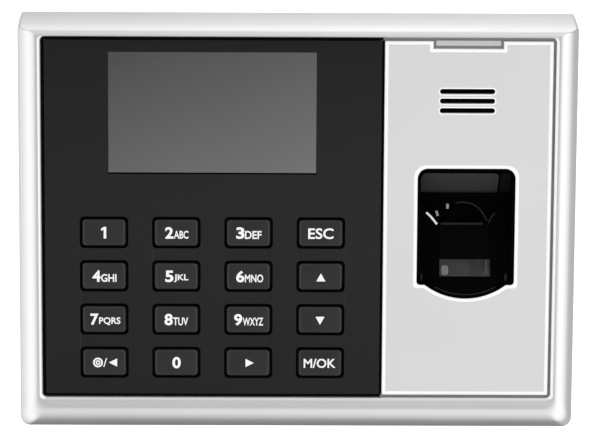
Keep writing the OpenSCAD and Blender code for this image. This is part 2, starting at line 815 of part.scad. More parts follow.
front_bezel();
key_panel();
display_window();
display_frame();
display_glass();
display_backlight();
display_ribbon();
keypad_board();
keypad_switches();
keypad_connector();
key(0, 0);  // key_1
key(1, 0);  // key_2
key(2, 0);  // key_3
key(3, 0);  // key_esc
key(0, 1);  // key_4
key(1, 1);  // key_5
key(2, 1);  // key_6
key(3, 1);  // key_up
key(0, 2);  // key_7
key(1, 2);  // key_8
key(2, 2);  // key_9
key(3, 2);  // key_down
key(0, 3);  // key_left
key(1, 3);  // key_0
key(2, 3);  // key_right
key(3, 3);  // key_menu
reader_panel();
indicator_lens();
indicator_leds();
speaker_frame();
speaker_cone();
speaker_magnet();
speaker_wires();
finger_guide();
sensor_prism();
sensor_housing();
sensor_board();
sensor_lens();
sensor_cable();
main_board();
board_chips();
board_capacitors();
cell_holder();
coin_cell();
network_jack();
usb_port();
usb_tongue();
power_jack();
connector_contacts();
terminal_block();
terminal_screws();
relay();
board_switches();
tamper_plunger();
reset_button();
rear_cover();
wall_bracket();
housing_screws();
board_screws();
security_screw();
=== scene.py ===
import json
import math

import bmesh
import bpy
from mathutils import Matrix, Vector

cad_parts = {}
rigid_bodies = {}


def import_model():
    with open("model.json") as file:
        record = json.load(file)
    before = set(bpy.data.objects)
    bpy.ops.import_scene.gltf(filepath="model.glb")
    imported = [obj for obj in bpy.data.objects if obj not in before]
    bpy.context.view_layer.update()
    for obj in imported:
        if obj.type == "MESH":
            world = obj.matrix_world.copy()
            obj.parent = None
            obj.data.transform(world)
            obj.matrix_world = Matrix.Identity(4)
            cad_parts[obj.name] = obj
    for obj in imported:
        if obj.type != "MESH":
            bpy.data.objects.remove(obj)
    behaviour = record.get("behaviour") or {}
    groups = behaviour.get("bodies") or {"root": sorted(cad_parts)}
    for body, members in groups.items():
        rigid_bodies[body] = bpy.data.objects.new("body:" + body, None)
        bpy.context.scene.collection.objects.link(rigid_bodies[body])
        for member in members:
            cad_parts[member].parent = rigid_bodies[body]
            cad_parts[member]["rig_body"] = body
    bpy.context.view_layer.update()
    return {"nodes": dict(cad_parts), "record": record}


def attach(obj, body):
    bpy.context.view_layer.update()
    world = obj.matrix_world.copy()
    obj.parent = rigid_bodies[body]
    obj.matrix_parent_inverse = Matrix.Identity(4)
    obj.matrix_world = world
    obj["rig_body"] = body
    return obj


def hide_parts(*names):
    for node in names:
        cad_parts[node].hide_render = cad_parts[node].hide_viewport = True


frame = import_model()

MM = 0.001
NODES = frame["nodes"]
SLOT_OF = {s["node"]: s["material_slot"] for s in frame["record"]["subparts"]}

# Depths, front to back, in millimetres. The wall is at 0 and the front faces -Y.
CREST_Y = -30.0
PANEL_Y = -29.0
PANEL_BACK = -27.4
SHELL_BACK = -4.0
COVER_BACK = -1.9

# Silver frame
HALF_W = 92.5
SIDE_R = 6.5
BOTTOM_R = 8.6
BODY_BOTTOM = -67.8
OPEN_HALF_W = 84.7
OPEN_TOP = 65.5
OPEN_BOTTOM = -56.2
CAVITY_HALF_W, CAVITY_TOP, CAVITY_BOTTOM = 89.7, 64.8, -64.4
CAVITY_R = 1.0
# Height of the top face at each depth behind the crest
TOP_PROFILE = [
    (0, 65.9), (0.05, 66.3), (0.15, 66.58), (0.3, 66.83), (0.5, 67.03), (0.8, 67.24), (1.2, 67.42),
    (1.8, 67.58), (2.8, 67.8), (4.2, 68.04), (6.5, 68.38), (9.5, 68.75), (13.5, 69.14), (18, 69.48),
    (22, 69.69), (26, 69.83)]
# Depths behind the crest at which the frame's rounded outside is drawn
SHELL_DEPTHS = [
    0.01, 0.05, 0.12, 0.25, 0.45, 0.75, 1.15, 1.6, 2.2, 2.9, 3.7, 4.7, 5.8, 7.0, 8.5, 11, 14, 18, 22, 26]
# The opening's edge from inside to the crest: flare outward, and depth
LIP_PROFILE = [
    (0.0, PANEL_BACK), (0.0, PANEL_Y - 0.1), (0.12, -29.4), (0.35, -29.68), (0.65, -29.86),
    (0.95, -29.96), (1.15, CREST_Y)]
# The flare is narrower at the top, by this share
LIP_TOP_SHARE = 0.38
LIP_R = 1.4
# Cutters for the lock screw's hole and its head's recess: x, depth, radius, lower and upper end
LOCK_CUTTERS = [(0, -8, 1.7, -70, -60), (0, -8, 3.0, -70, -65.8)]

# Front panels
PANEL_GAP = 1.1
BLACK_RIGHT = 27.475
SILVER_LEFT = 28.425
SILVER_RIGHT = 83.9
SILVER_BOTTOM = -55.3
PANEL_TOP = 64.4
NOTCH_LEFT, NOTCH_RIGHT, NOTCH_BOTTOM = 44.4, 67.4, 61.9
LENS_LEFT, LENS_RIGHT, LENS_BOTTOM = 45.2, 66.6, 62.8
SLOT_X, SLOT_Z, SLOT_PITCH, SLOT_HALF_W, SLOT_HALF_H = 55.75, 44.4, 3.2, 9.1, 0.875

# Dark strips that paint the shade in the gaps, and rims in a brighter silver that paints their highlight. A
# rim's rows are how far outward, and depth.
FIT = 0.02
SHADE_BACK, SHADE_FRONT, LOW_SHADE_FRONT = PANEL_BACK + FIT, -28.2, -27.6
PANEL_RIM = [
    (-0.01, -28.6), (-0.06, -28.8), (-0.25, -29.0), (-0.5, -29.1), (-0.75, -29.13), (-1.0, -29.09),
    (-1.2, -28.98)]
WELL_RIM = [(0.02, -28.6), (0.04, -28.96), (0.2, -29.08), (0.5, -29.14), (0.85, -29.1), (1.15, -28.98)]
SLOT_RIM = [(0.02, -28.8), (0.03, -28.98), (0.12, -29.05), (0.3, -29.07), (0.5, -28.98)]

# Display
LCD_LEFT, LCD_RIGHT, LCD_BOTTOM, LCD_TOP = -62.45, 6.05, 20.1, 60.45

# Keypad
KEY_X0, KEY_Z0, KEY_DX, KEY_DZ = -64.1, -0.15, 23.95, 14.75
KEY_W, KEY_H = 14.3, 8.9
KEY_FACE_Y = -29.5
# Rounded layers of a key, as inset and depth
CAP_LAYERS = [
    (0, -24.9), (0, -28.95), (0.06, -29.15), (0.2, -29.33), (0.42, -29.45), (0.75, KEY_FACE_Y)]
FLANGE_LAYERS = [(0, -25.1), (0, -24.1)]
STEM_LAYERS = [(0, -24.2), (0, -23.8)]
CAP_R, FLANGE_R, STEM_R = 1.2, 0.8, 0.3
FLANGE_HALF_W, FLANGE_HALF_H, STEM_HALF = 8.7, 6.0, 2.0
# Inner and outer edge of the black ring that paints the shade round a key, outward from the key, and their
# corner radii
KEY_SHADE_IN, KEY_SHADE_OUT = 0.3, 0.88
KEY_SHADE_IN_R, KEY_SHADE_OUT_R = 1.3, 1.5
KEYS = [["key_1", "key_2", "key_3", "key_esc"], ["key_4", "key_5", "key_6", "key_up"],
        ["key_7", "key_8", "key_9", "key_down"], ["key_left", "key_0", "key_right", "key_menu"]]

# Fingerprint well
WELL_X = 55.85
WELL_HALF_W, WELL_TOP, WELL_SHOULDER = 16.2, 21.75, -17.65
WELL_SAG, WELL_ARC_HALF_W = 4.65, 13.5
WELL_TOP_R, WELL_LOW_R = 3.4, 1.2
SENSOR_Y, SENSOR_Z, SENSOR_TILT = -22.45, -8.5, math.radians(27.4)
GLASS_HALF_W, GLASS_BOTTOM = 8.5, -7.8
# The hood's slope, as depth and height of its lower and upper edge
HOOD_LOW, HOOD_HIGH = (-16.47, 11.0), (-27.8, 20.7)
# Bars in the well whose colour and glow paint highlights, as x from the middle of the opening, depth and
# height
ARCH_R, ARCH_Z, ARCH_X = 7.94, 0.06, -0.5
WALL_Y = -16.55
ARCH_END = (7.6, -17.2, 1.8)
LEDGE = [(x, -17.65, 0.85) for x in (-7.8, -3, 2, 6.2)]
# Paths of the bar whose glow paints a glint at the left, and of the bar with a painted highlight at the
# right
LEFT_GLINT_PATH = [(-9.1, -17.8, 0.65), (-11.1, -16.75, 2.95), (-12.65, -16.6, 4.4)]
RIGHT_HIGHLIGHT_PATH = [(8.15, -17.6, 1.1), (9.15, -16.65, 3.0), (10.25, -16.6, 4.3)]
GLINT_1 = [(-9.35, -16.6, 5.0), (-9.05, -16.6, 4.1), (-8.85, -16.6, 3.3)]
GLINT_2 = [(-5.7, -16.6, 7.4), (-5.55, -16.6, 6.6), (-5.65, -16.6, 5.8)]
LEFT_RIB_X, RIGHT_RIB_X = -14.55, 13.55
RIB = [(-27.6, -18.0), (-27.6, -16.2), (-27.5, -14.2)]
WELL_LIP_Y = -28.55


# ---------------------------------------------------------------- materials

def principled(name, settings):
    """A new material's node tree and shader, with its constant settings on the shader's own sockets."""
    mat = bpy.data.materials.new(name)
    mat.use_nodes = True
    shader = mat.node_tree.nodes["Principled BSDF"]
    for socket, value in settings.items():
        shader.inputs[socket].default_value = value
    return mat, mat.node_tree, shader


def noise(tree, vector, scale, detail):
    node = tree.nodes.new("ShaderNodeTexNoise")
    node.inputs["Scale"].default_value = scale
    node.inputs["Detail"].default_value = detail
    tree.links.new(vector, node.inputs["Vector"])
    return node.outputs["Fac"]


def remap(tree, value, low, high, to_low, to_high):
    node = tree.nodes.new("ShaderNodeMapRange")
    for socket, number in zip(("From Min", "From Max", "To Min", "To Max"), (low, high, to_low, to_high)):
        node.inputs[socket].default_value = number
    tree.links.new(value, node.inputs["Value"])
    return node.outputs["Result"]


def material(name, colour, rough, metallic=0.0, coat=0.0, grain=900.0, tint=0.06, rough_vary=0.04,
             bump=0.00001, cloud=60.0, specular=0.5, stretch=(1, 1, 1), patches=None, painted_glow=0.0):
    """A surface with fine grain in its relief, and slow variation in its colour and roughness. Its emission
    paints highlights and glints on parts that are no lamps.

    patches is (colour, scale, low, high): a second colour in soft spots, as on a circuit board.
    """
    mat, tree, shader = principled(name, {
        "Metallic": metallic, "Coat Weight": coat, "Coat Roughness": 0.05,
        "Specular IOR Level": specular, "Emission Color": (1, 1, 1, 1), "Emission Strength": painted_glow})
    link = tree.links.new
    coords = tree.nodes.new("ShaderNodeTexCoord")
    mapping = tree.nodes.new("ShaderNodeMapping")
    mapping.inputs["Scale"].default_value = stretch
    link(coords.outputs["Object"], mapping.inputs["Vector"])
    vector = mapping.outputs["Vector"]
    slow = noise(tree, vector, cloud, 4.0)
    fine = noise(tree, vector, grain, 3.0)
    both = tree.nodes.new("ShaderNodeMath")
    both.operation = "ADD"
    link(slow, both.inputs[0])
    link(fine, both.inputs[1])
    mix = tree.nodes.new("ShaderNodeMix")
    mix.data_type = "RGBA"
    mix.inputs["A"].default_value = [c * (1 - tint) for c in colour] + [1]
    mix.inputs["B"].default_value = [min(1, c * (1 + tint)) for c in colour] + [1]
    link(remap(tree, both.outputs[0], 0.7, 1.3, 0, 1), mix.inputs["Factor"])
    result = mix.outputs["Result"]
    if patches:
        second, scale, low, high = patches
        spots = tree.nodes.new("ShaderNodeMix")
        spots.data_type = "RGBA"
        spots.inputs["B"].default_value = list(second) + [1]
        link(result, spots.inputs["A"])
        link(remap(tree, noise(tree, vector, scale, 2.0), low, high, 0, 1), spots.inputs["Factor"])
        result = spots.outputs["Result"]
    link(result, shader.inputs["Base Color"])
    link(remap(tree, slow, 0.3, 0.7, max(0.01, rough - rough_vary), rough + rough_vary),
         shader.inputs["Roughness"])
    relief = tree.nodes.new("ShaderNodeBump")
    relief.inputs["Strength"].default_value = 0.5
    relief.inputs["Distance"].default_value = bump
    link(fine, relief.inputs["Height"])
    link(relief.outputs["Normal"], shader.inputs["Normal"])
    return mat


def glass_with_painted_light(name, base, light_slope_x, light_slope_z, rough, coat, hue):
    """Smoked glass whose colour is painted steadily lighter across and down its face, as painted light.
    Slopes are per metre.
    """
    mat, tree, shader = principled(name, {"Coat Weight": coat, "Coat Roughness": 0.03,
                                          "Specular IOR Level": 0.4})
    link = tree.links.new
    coords = tree.nodes.new("ShaderNodeTexCoord")
    dot = tree.nodes.new("ShaderNodeVectorMath")
    dot.operation = "DOT_PRODUCT"
    dot.inputs[1].default_value = (light_slope_x, 0, light_slope_z)
    link(coords.outputs["Object"], dot.inputs[0])
    cloud = noise(tree, coords.outputs["Object"], 22, 2.0)
    haze = remap(tree, cloud, 0.3, 0.7, base * 0.985, base * 1.015)
    total = tree.nodes.new("ShaderNodeMath")
    total.operation = "ADD"
    link(dot.outputs["Value"], total.inputs[0])
    link(haze, total.inputs[1])
    grey = tree.nodes.new("ShaderNodeCombineXYZ")
    scale = tree.nodes.new("ShaderNodeVectorMath")
    scale.operation = "MULTIPLY"
    scale.inputs[1].default_value = hue
    for axis in "XYZ":
        link(total.outputs[0], grey.inputs[axis])
    link(grey.outputs[0], scale.inputs[0])
    link(scale.outputs[0], shader.inputs["Base Color"])
    fine = noise(tree, coords.outputs["Object"], 300, 2.0)
    link(remap(tree, fine, 0.3, 0.7, rough * 0.9, rough * 1.1), shader.inputs["Roughness"])
    return mat


LOOKS = {
    "silver_shell": dict(colour=(0.785, 0.78, 0.785), rough=0.2, metallic=0.72, grain=3200, tint=0.012,
                         bump=0.000003, cloud=25, rough_vary=0.02),
    "silver_panel": dict(colour=(0.755, 0.739, 0.750), rough=0.31, metallic=0.35, grain=4200, tint=0.012,
                         bump=0.000004, cloud=20, rough_vary=0.015),
    # A brighter copy of the silver: a painted highlight on the rims
    "silver_painted_highlight": dict(colour=(0.97, 0.96, 0.965), rough=0.35, metallic=0.15, grain=2600, tint=0.01,
                        bump=0.000003, cloud=30),
    "black_panel": dict(colour=(0.0045, 0.0045, 0.0048), rough=0.15, grain=3000, tint=0.12,
                        bump=0.000001, cloud=24, specular=0.42, rough_vary=0.01),
    "plated_steel": dict(colour=(0.62, 0.63, 0.65), rough=0.32, metallic=1.0, grain=1500, tint=0.05),
    "display_glass": dict(colour=(0.30, 0.33, 0.31), rough=0.08, grain=400, tint=0.02, bump=0.000001),
    "backlight": dict(colour=(0.85, 0.85, 0.83), rough=0.6, grain=900, tint=0.03),
    "film": dict(colour=(0.55, 0.28, 0.06), rough=0.35, grain=500, tint=0.1, stretch=(20, 1, 1)),
    "circuit_board": dict(colour=(0.012, 0.10, 0.045), rough=0.32, grain=700, tint=0.3, cloud=260,
                          bump=0.00003, coat=0.3, patches=((0.02, 0.17, 0.08), 420, 0.52, 0.56)),
    "black_plastic": dict(colour=(0.012, 0.012, 0.0125), rough=0.45, grain=2500, tint=0.15, bump=0.00001),
    # Black: painted shade in the gaps
    "black_gap_shade": dict(colour=(0.003, 0.003, 0.003), rough=0.9, grain=1800, tint=0.3, bump=0.00003,
                   specular=0.05),
    # Grey: painted shade in the gaps round the silver panel and the lens
    "grey_gap_shade": dict(colour=(0.26, 0.255, 0.26), rough=0.8, grain=1800, tint=0.1, bump=0.00002,
                      specular=0.1),
    "indicator_lens": dict(colour=(0.52, 0.51, 0.52), rough=0.3, grain=1200, tint=0.02, bump=0.000003),
    "led": dict(colour=(0.85, 0.75, 0.35), rough=0.2, grain=900, tint=0.08),
    "speaker_paper": dict(colour=(0.002, 0.002, 0.002), rough=0.85, grain=1800, tint=0.3, bump=0.00004,
                          specular=0.05),
    "magnet": dict(colour=(0.2, 0.2, 0.21), rough=0.4, metallic=0.8, grain=1500, tint=0.1),
    "wire": dict(colour=(0.5, 0.04, 0.03), rough=0.5, grain=1500, tint=0.1, stretch=(1, 1, 8)),
    "gloss_black": dict(colour=(0.0008, 0.0008, 0.0008), rough=0.18, grain=1800, tint=0.15, bump=0.000001,
                        specular=0.015, rough_vary=0.02),
    # Grey: painted reflection on the hood's slope
    "hood_painted_reflection": dict(colour=(0.043, 0.0415, 0.0425), rough=0.4, grain=1800, tint=0.04, bump=0.000001,
                       specular=0.2, rough_vary=0.02),
    # Lighter grey: painted highlight on the hood's lower edge and on the light guide's edge line
    "hood_painted_highlight": dict(colour=(0.058, 0.056, 0.057), rough=0.4, grain=1800, tint=0.04, bump=0.000001,
                     specular=0.2, rough_vary=0.02),
    # Near black: painted shade beside the hood's facet
    "hood_painted_shade": dict(colour=(0.008, 0.008, 0.008), rough=0.4, grain=1800, tint=0.06, specular=0.1),
    "optical_glass": dict(colour=(0.0013, 0.0013, 0.0014), rough=0.06, grain=500, tint=0.05, bump=0.0000005,
                          specular=0.02),
    # Dark grey light guide with a faint painted glow
    "light_guide": dict(colour=(0.030, 0.030, 0.031), rough=0.4, grain=260, tint=0.45, cloud=150,
                        bump=0.000002, painted_glow=0.004, specular=0.1),
    # Glowing spot: a painted glint at the light guide's end
    "painted_glint_spot": dict(colour=(0.08, 0.08, 0.08), rough=0.3, grain=700, tint=0.2, cloud=300,
                       bump=0.000002, painted_glow=0.045),
    # Bright glow: a painted lamp glint
    "bright_painted_glint": dict(colour=(0.6, 0.6, 0.6), rough=0.2, grain=900, tint=0.1, cloud=200, bump=0.000002,
                       painted_glow=0.4),
    # Dimmer glow: painted glints on the arch
    "dim_painted_glint": dict(colour=(0.2, 0.2, 0.2), rough=0.2, grain=900, tint=0.1, cloud=200, bump=0.000002,
                     painted_glow=0.13),
    # Dark grey with a faint glow: painted highlight on the well's edges
    "painted_edge_highlight": dict(colour=(0.016, 0.016, 0.016), rough=0.3, grain=1200, tint=0.1, bump=0.000002,
                       specular=0.03, painted_glow=0.004),
    "lens_black": dict(colour=(0.01, 0.01, 0.02), rough=0.08, grain=900, tint=0.1, coat=0.5),
    "ribbon": dict(colour=(0.62, 0.62, 0.60), rough=0.55, grain=1100, tint=0.1, stretch=(1, 1, 12)),
    "chip": dict(colour=(0.018, 0.018, 0.02), rough=0.55, grain=3500, tint=0.25, bump=0.00001),
    "capacitor": dict(colour=(0.02, 0.025, 0.10), rough=0.25, grain=900, tint=0.1),
    "gold": dict(colour=(0.80, 0.58, 0.22), rough=0.22, metallic=1.0, grain=1200, tint=0.05),
    "green_plastic": dict(colour=(0.02, 0.26, 0.08), rough=0.42, grain=1800, tint=0.08),
    "relay_blue": dict(colour=(0.02, 0.08, 0.30), rough=0.3, grain=1500, tint=0.08),
    "white_plastic": dict(colour=(0.72, 0.72, 0.70), rough=0.45, grain=1800, tint=0.04),
    "red_plastic": dict(colour=(0.50, 0.03, 0.02), rough=0.4, grain=1800, tint=0.06),
    "rear_plastic": dict(colour=(0.020, 0.020, 0.022), rough=0.55, grain=1400, tint=0.18, bump=0.00003),
    "key_plastic": dict(colour=(0.0066, 0.0066, 0.0068), rough=0.34, grain=2800, tint=0.1, bump=0.000005,
                        specular=0.5),
    "bracket_steel": dict(colour=(0.55, 0.56, 0.57), rough=0.36, metallic=1.0, grain=700, tint=0.08,
                          stretch=(1, 1, 14), bump=0.000008),
    "legend_ink": dict(colour=(0.88, 0.88, 0.88), rough=0.5, grain=2500, tint=0.02, bump=0.000002),
}
MATS = {name: material(name, **look) for name, look in LOOKS.items()}
# The display window's steady gradient is painted light in its base colour
MATS["display_window"] = glass_with_painted_light("display_window", base=0.165, light_slope_x=0.53, light_slope_z=-1.22, rough=0.22,
                                       coat=0.15, hue=(1.01, 0.985, 0.99))


# ---------------------------------------------------------------- mesh tools

def sharpen(mesh, degrees=32):
    """Smooth shading, with creases where two faces meet at a larger angle."""
    bm = bmesh.new()
    bm.from_mesh(mesh)
    limit = math.radians(degrees)
    for f in bm.faces:
        f.smooth = True
    for e in bm.edges:
        e.smooth = len(e.link_faces) == 2 and e.calc_face_angle(0.0) < limit
    bm.to_mesh(mesh)
    bm.free()


def piece(name, mesh, mat, body="housing", replaces=(), weighted=False):
    """Adds one finished piece that rides on a CAD body, in the look named by mat."""
    obj = bpy.data.objects.new(name, mesh)
    bpy.context.scene.collection.objects.link(obj)
    mesh.materials.clear()
    mesh.materials.append(MATS[mat])
    if weighted:
        even = obj.modifiers.new("even_shading", "WEIGHTED_NORMAL")
        even.keep_sharp = True
        even.weight = 100
    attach(obj, body)
    if replaces:
        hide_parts(*replaces)


def mesh_from(name, verts, faces, degrees=32):
    """A mesh from points in millimetres."""
    mesh = bpy.data.meshes.new(name)
    mesh.from_pydata([[c * MM for c in v] for v in verts], [], faces)
    bm = bmesh.new()
    bm.from_mesh(mesh)
    bmesh.ops.recalc_face_normals(bm, faces=bm.faces)
    bm.to_mesh(mesh)
    bm.free()
    sharpen(mesh, degrees)
    return mesh


def at_depth(outline, y):
    return [(x, y, z) for x, z in outline]


def rounded(x0, x1, z0, z1, radii, steps=8):
    """A rounded rectangle. radii are top right, top left, bottom left, bottom right, or one for all."""
    if isinstance(radii, (int, float)):
        radii = (radii,) * 4
    corners = [(x1, z1, 1, 1, 0), (x0, z1, -1, 1, 90), (x0, z0, -1, -1, 180), (x1, z0, 1, -1, 270)]
    points = []
    for (x, z, sx, sz, start), r in zip(corners, radii):
        for i in range(steps + 1):
            a = math.radians(start + 90 * i / steps)
            points.append((x - sx * r + r * math.cos(a), z - sz * r + r * math.sin(a)))
    return points


def arc(cx, cz, r, start, end, steps):
    angles = [math.radians(start + (end - start) * i / steps) for i in range(steps + 1)]
    return [(cx + r * math.cos(a), cz + r * math.sin(a)) for a in angles]


def well_outline(inset):
    """The fingerprint opening: round top corners, small bottom corners, and a bulging bottom edge."""
    hw = WELL_HALF_W - inset
    top = WELL_TOP - inset
    low = WELL_SHOULDER + inset
    top_r = WELL_TOP_R - inset / 2
    low_r = WELL_LOW_R
    full_r = (WELL_ARC_HALF_W ** 2 + WELL_SAG ** 2) / (2 * WELL_SAG)
    cz = WELL_SHOULDER - WELL_SAG + full_r
    r = full_r - inset
    meet = math.degrees(math.acos((cz - low) / r))
    x = WELL_X
    return (arc(x + hw - top_r, top - top_r, top_r, 0, 90, 8)
            + arc(x - hw + top_r, top - top_r, top_r, 90, 180, 8)
            + arc(x - hw + low_r, low + low_r, low_r, 180, 270, 5)
            + arc(x, cz, r, 270 - meet, 270 + meet, 24)
            + arc(x + hw - low_r, low + low_r, low_r, 270, 360, 5))


def brace(outline, gap=1.5, longest=20):
    """Adds two points to each long side, so that the round corners don't shade the flat sides."""
    result = []
    for a, b in zip(outline, outline[1:] + outline[:1]):
        result.append(a)
        length = math.dist(a, b)
        if length > longest:
            for t in (gap / length, 1 - gap / length):
                result.append(tuple(p + (q - p) * t for p, q in zip(a, b)))
    return result


def offset(outline, distance):
    """Moves a polygon's edges outward by a distance, with mitred corners. Points run anticlockwise."""
    moved = []
    count = len(outline)
    for i, (x, z) in enumerate(outline):
        (px, pz), (nx, nz) = outline[i - 1], outline[(i + 1) % count]
        a = Vector((x - px, z - pz)).normalized()
        b = Vector((nx - x, nz - z)).normalized()
        normal_a, normal_b = Vector((a.y, -a.x)), Vector((b.y, -b.x))
        mitre = (normal_a + normal_b) / (1 + normal_a.dot(normal_b))
        moved.append((x + mitre.x * distance, z + mitre.y * distance))
    return moved


def loft(rings, closed=False, cap_first=False, cap_last=False):
    """Joins rings of equal length with quads. closed also joins the last to the first."""
    n = len(rings[0])
    verts = [p for r in rings for p in r]
    faces = []
    for k in range(len(rings) if closed else len(rings) - 1):
        a, b = k * n, ((k + 1) % len(rings)) * n
        for i in range(n):
            j = (i + 1) % n
            faces.append((a + i, a + j, b + j, b + i))
    if cap_first:
        faces.append(tuple(range(n)))
    if cap_last:
        faces.append(tuple((len(rings) - 1) * n + i for i in range(n)))
    return verts, faces


def prism(outline, y0, y1):
    return loft([at_depth(outline, y0), at_depth(outline, y1)], cap_first=True, cap_last=True)


def join(*parts):
    verts, faces = [], []
    for v, f in parts:
        base = len(verts)
        verts += v
        faces += [tuple(base + i for i in face) for face in f]
    return verts, faces


def clean_copy(node):
    """The CAD node's mesh, with its points welded and its flat faces merged."""
    mesh = bpy.data.meshes.new(node + "_fine")
    bm = bmesh.new()
    bm.from_mesh(NODES[node].data)
    bmesh.ops.remove_doubles(bm, verts=bm.verts, dist=2e-6)
    bmesh.ops.dissolve_limit(bm, angle_limit=math.radians(0.5), verts=bm.verts, edges=bm.edges)
    bm.to_mesh(mesh)
    bm.free()
    for name in [a.name for a in mesh.attributes if a.name == "custom_normal"]:
        mesh.attributes.remove(mesh.attributes[name])
    return mesh


def bevelled(mesh, width, segments, degrees=40):
    """Rounds every edge sharper than the angle."""
    bm = bmesh.new()
    bm.from_mesh(mesh)
    limit = math.radians(degrees)
    edges = [e for e in bm.edges if len(e.link_faces) == 2 and e.calc_face_angle(0.0) > limit]
    bmesh.ops.bevel(bm, geom=edges, offset=width * MM, offset_type="OFFSET", segments=segments,
                    profile=0.5, affect="EDGES", clamp_overlap=True)
    bmesh.ops.triangulate(bm, faces=bm.faces, ngon_method="BEAUTY")
    bm.to_mesh(mesh)
    bm.free()
    return mesh


def refine(node, width, segments):
    """Replaces a CAD node with a copy that has rounded edges and even shading."""
    mesh = bevelled(clean_copy(node), width, segments)
    sharpen(mesh, 50)
    slot = SLOT_OF[node]
    piece(node + "_fine", mesh, slot, NODES[node]["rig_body"], (node,), weighted=True)


def apply_boolean(mesh, cutter, operation):
    """Cuts mesh with another mesh and returns the result as a new mesh."""
    collection = bpy.context.scene.collection
    a = bpy.data.objects.new("work_a", mesh)
    b = bpy.data.objects.new("work_b", cutter)
    for o in (a, b):
        collection.objects.link(o)
    cut = a.modifiers.new("cut", "BOOLEAN")
    cut.operation = operation
    cut.solver = "EXACT"
    cut.object = b
    bpy.context.view_layer.update()
    result = bpy.data.meshes.new_from_object(a.evaluated_get(bpy.context.evaluated_depsgraph_get()))
    for o in (a, b):
        bpy.data.objects.remove(o)
    return result


def cylinder_mesh(cylinders):
    """Upright cutters from (x, y, radius, z0, z1) rows."""
    mesh = bpy.data.meshes.new("cutter")
    bm = bmesh.new()
    for x, y, r, z0, z1 in cylinders:
        bmesh.ops.create_cone(bm, cap_ends=True, segments=48, radius1=r * MM, radius2=r * MM,
                              depth=(z1 - z0) * MM,
                              matrix=Matrix.Translation(Vector((x, y, (z0 + z1) / 2)) * MM))
    bm.to_mesh(mesh)
    bm.free()
    return mesh


# ---------------------------------------------------------------- silver frame

def interpolate(table, x):
    for (x0, v0), (x1, v1) in zip(table, table[1:]):
        if x <= x1:
            return v0 + (v1 - v0) * (x - x0) / (x1 - x0)
    return table[-1][1]


def shell_ring(depth):
    """The frame's outline at a depth behind its crest."""
    half = HALF_W - SIDE_R + math.sqrt(SIDE_R ** 2 - max(0, SIDE_R - depth) ** 2)
    low = BODY_BOTTOM + BOTTOM_R - math.sqrt(BOTTOM_R ** 2 - max(0, BOTTOM_R - depth) ** 2)
    # The upper corners grow rounder with depth and the lower ones sharper
    top_r = 0.7 + 0.5 * min(1, depth / 6)
    low_r = 4.2 - 1.2 * min(1, depth / 8)
    outline = rounded(-half, half, low, interpolate(TOP_PROFILE, depth), (top_r, top_r, low_r, low_r))
    return at_depth(outline, CREST_Y + depth)


def lip_ring(out, y):
    """The opening's edge, flared outward."""
    outline = rounded(-OPEN_HALF_W - out, OPEN_HALF_W + out, OPEN_BOTTOM - out,
                      OPEN_TOP + LIP_TOP_SHARE * out, LIP_R + 0.3 * out)
    return at_depth(outline, y)


def silver_frame():
    """The frame's rounded outside as one smooth sweep, and the web inside it from the CAD node."""
    rings = [lip_ring(out, y) for out, y in LIP_PROFILE]
    rings += [shell_ring(depth) for depth in SHELL_DEPTHS]
    inner = rounded(-CAVITY_HALF_W, CAVITY_HALF_W, CAVITY_BOTTOM, CAVITY_TOP, CAVITY_R)
    rings.append(at_depth(inner, SHELL_BACK))
    rings.append(at_depth(inner, PANEL_BACK))
    mesh = mesh_from("silver_frame", *loft([brace(ring) for ring in rings], closed=True))
    mesh = apply_boolean(mesh, cylinder_mesh(LOCK_CUTTERS), "DIFFERENCE")
    sharpen(mesh, 30)
    piece("silver_frame", mesh, "silver_shell", replaces=("front_bezel",), weighted=True)
    half_w = CAVITY_HALF_W - FIT
    inside = rounded(-half_w, half_w, CAVITY_BOTTOM + FIT, CAVITY_TOP - FIT, CAVITY_R)
    verts, faces = prism(inside, PANEL_BACK + 0.01, SHELL_BACK + 1)
    web = apply_boolean(clean_copy("front_bezel"), mesh_from("inside", verts, faces), "INTERSECT")
    sharpen(web, 30)
    piece("frame_web", web, "silver_shell")


# ---------------------------------------------------------------- painted gap shade and painted rim highlights

def painted_highlight_rim(name, outline_at, profile):
    """A closed strip that follows an outline, in a brighter silver that paints its highlight. profile rows
    are how far outward, and depth.
    """
    rings = [at_depth(outline_at(out), y) for out, y in profile]
    mesh = mesh_from(name, *loft(rings, closed=True), degrees=60)
    piece(name, mesh, "silver_painted_highlight")


def gap_shade_strips(name, strips, mat, front=SHADE_FRONT):
    """Strips in the gaps whose colour paints the shade there. strips rows are left, right, lower and upper
    edge.
    """
    parts = [prism(rounded(x0, x1, z0, z1, 0.05), SHADE_BACK, front) for x0, x1, z0, z1 in strips]
    piece(name, mesh_from(name, *join(*parts), degrees=40), mat)


